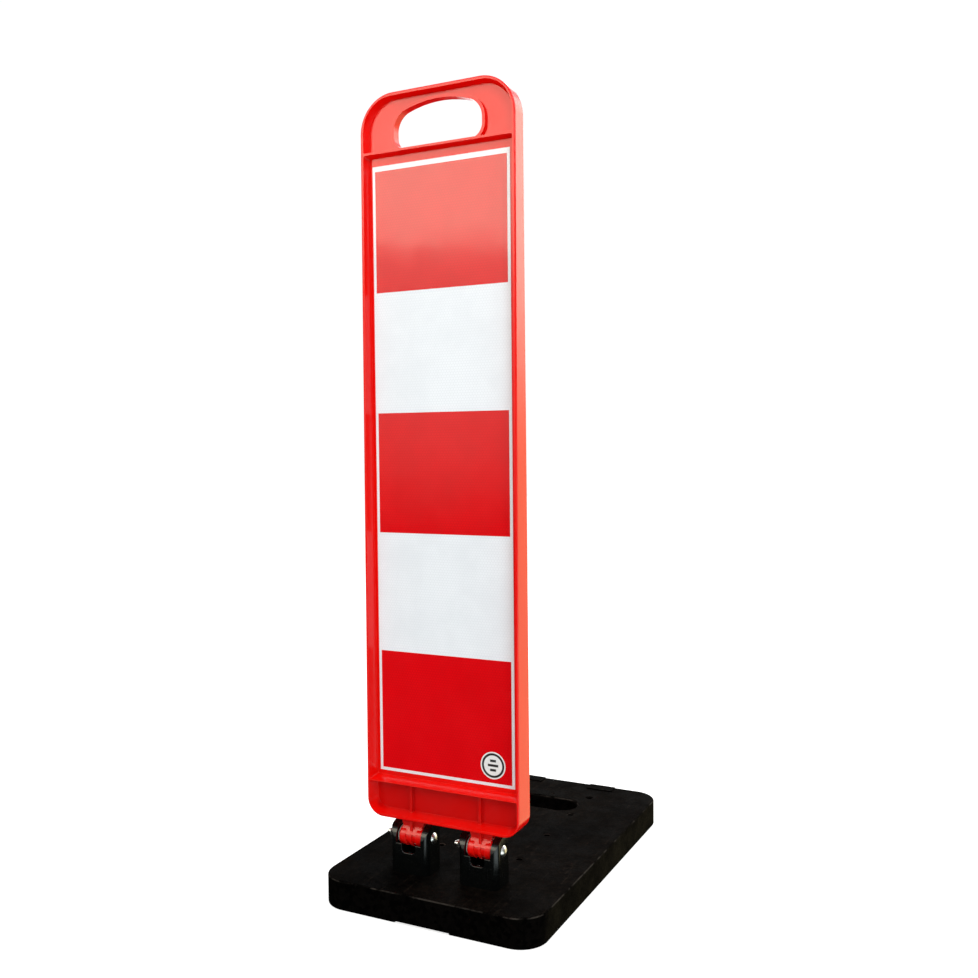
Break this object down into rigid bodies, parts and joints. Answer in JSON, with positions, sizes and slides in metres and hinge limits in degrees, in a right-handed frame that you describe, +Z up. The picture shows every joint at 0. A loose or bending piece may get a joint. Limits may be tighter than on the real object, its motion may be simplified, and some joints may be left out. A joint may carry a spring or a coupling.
{
  "type": "delineator post",
  "caption": "Upright roadside delineator panel with red and white reflective bands and a grip hole, hinged on clevis brackets to a heavy rectangular rubber foot.",
  "frame": {"origin": "centre of the foot's underside, on the ground", "axes": "+Z up; +Y from the panel towards the back of the foot; X across the panel; the front face looks along -Y"},
  "size_m": [0.395, 0.62, 1.329],
  "materials": {
    "recycled_rubber": "matt, dusty, moulded from rubber granules",
    "board_plastic": "semi-gloss moulded red-orange",
    "bracket_plastic": "gloss black",
    "zinc_steel": "bright zinc plate",
    "nylon": "natural nylon",
    "white_film": "white reflective sheeting",
    "red_film": "transparent red ink over reflective sheeting",
    "label_film": "printed round label"
  },
  "bodies": {
    "base": {"rubber_base": "recycled_rubber", "left_bracket": "bracket_plastic", "right_bracket": "bracket_plastic", "left_backing_plate": "zinc_steel", "right_backing_plate": "zinc_steel", "anchor_bolts": "zinc_steel", "anchor_washers": "zinc_steel", "anchor_nuts": "zinc_steel", "hinge_bolts": "zinc_steel", "hinge_washers": "zinc_steel", "hinge_nuts": "zinc_steel", "left_friction_washers": "nylon", "right_friction_washers": "nylon"},
    "panel": {"panel_board": "board_plastic", "left_lug_bush": "zinc_steel", "right_lug_bush": "zinc_steel", "front_white_film": "white_film", "front_red_bands": "red_film", "back_white_film": "white_film", "back_red_bands": "red_film", "round_label": "label_film"}
  },
  "joints": [
    {"name": "panel_tilt", "type": "hinge", "parent": "base", "child": "panel", "pos_m": [0, -0.2155, 0.107], "axis": [1, 0, 0], "range_deg": [-90, 90]}
  ]
}
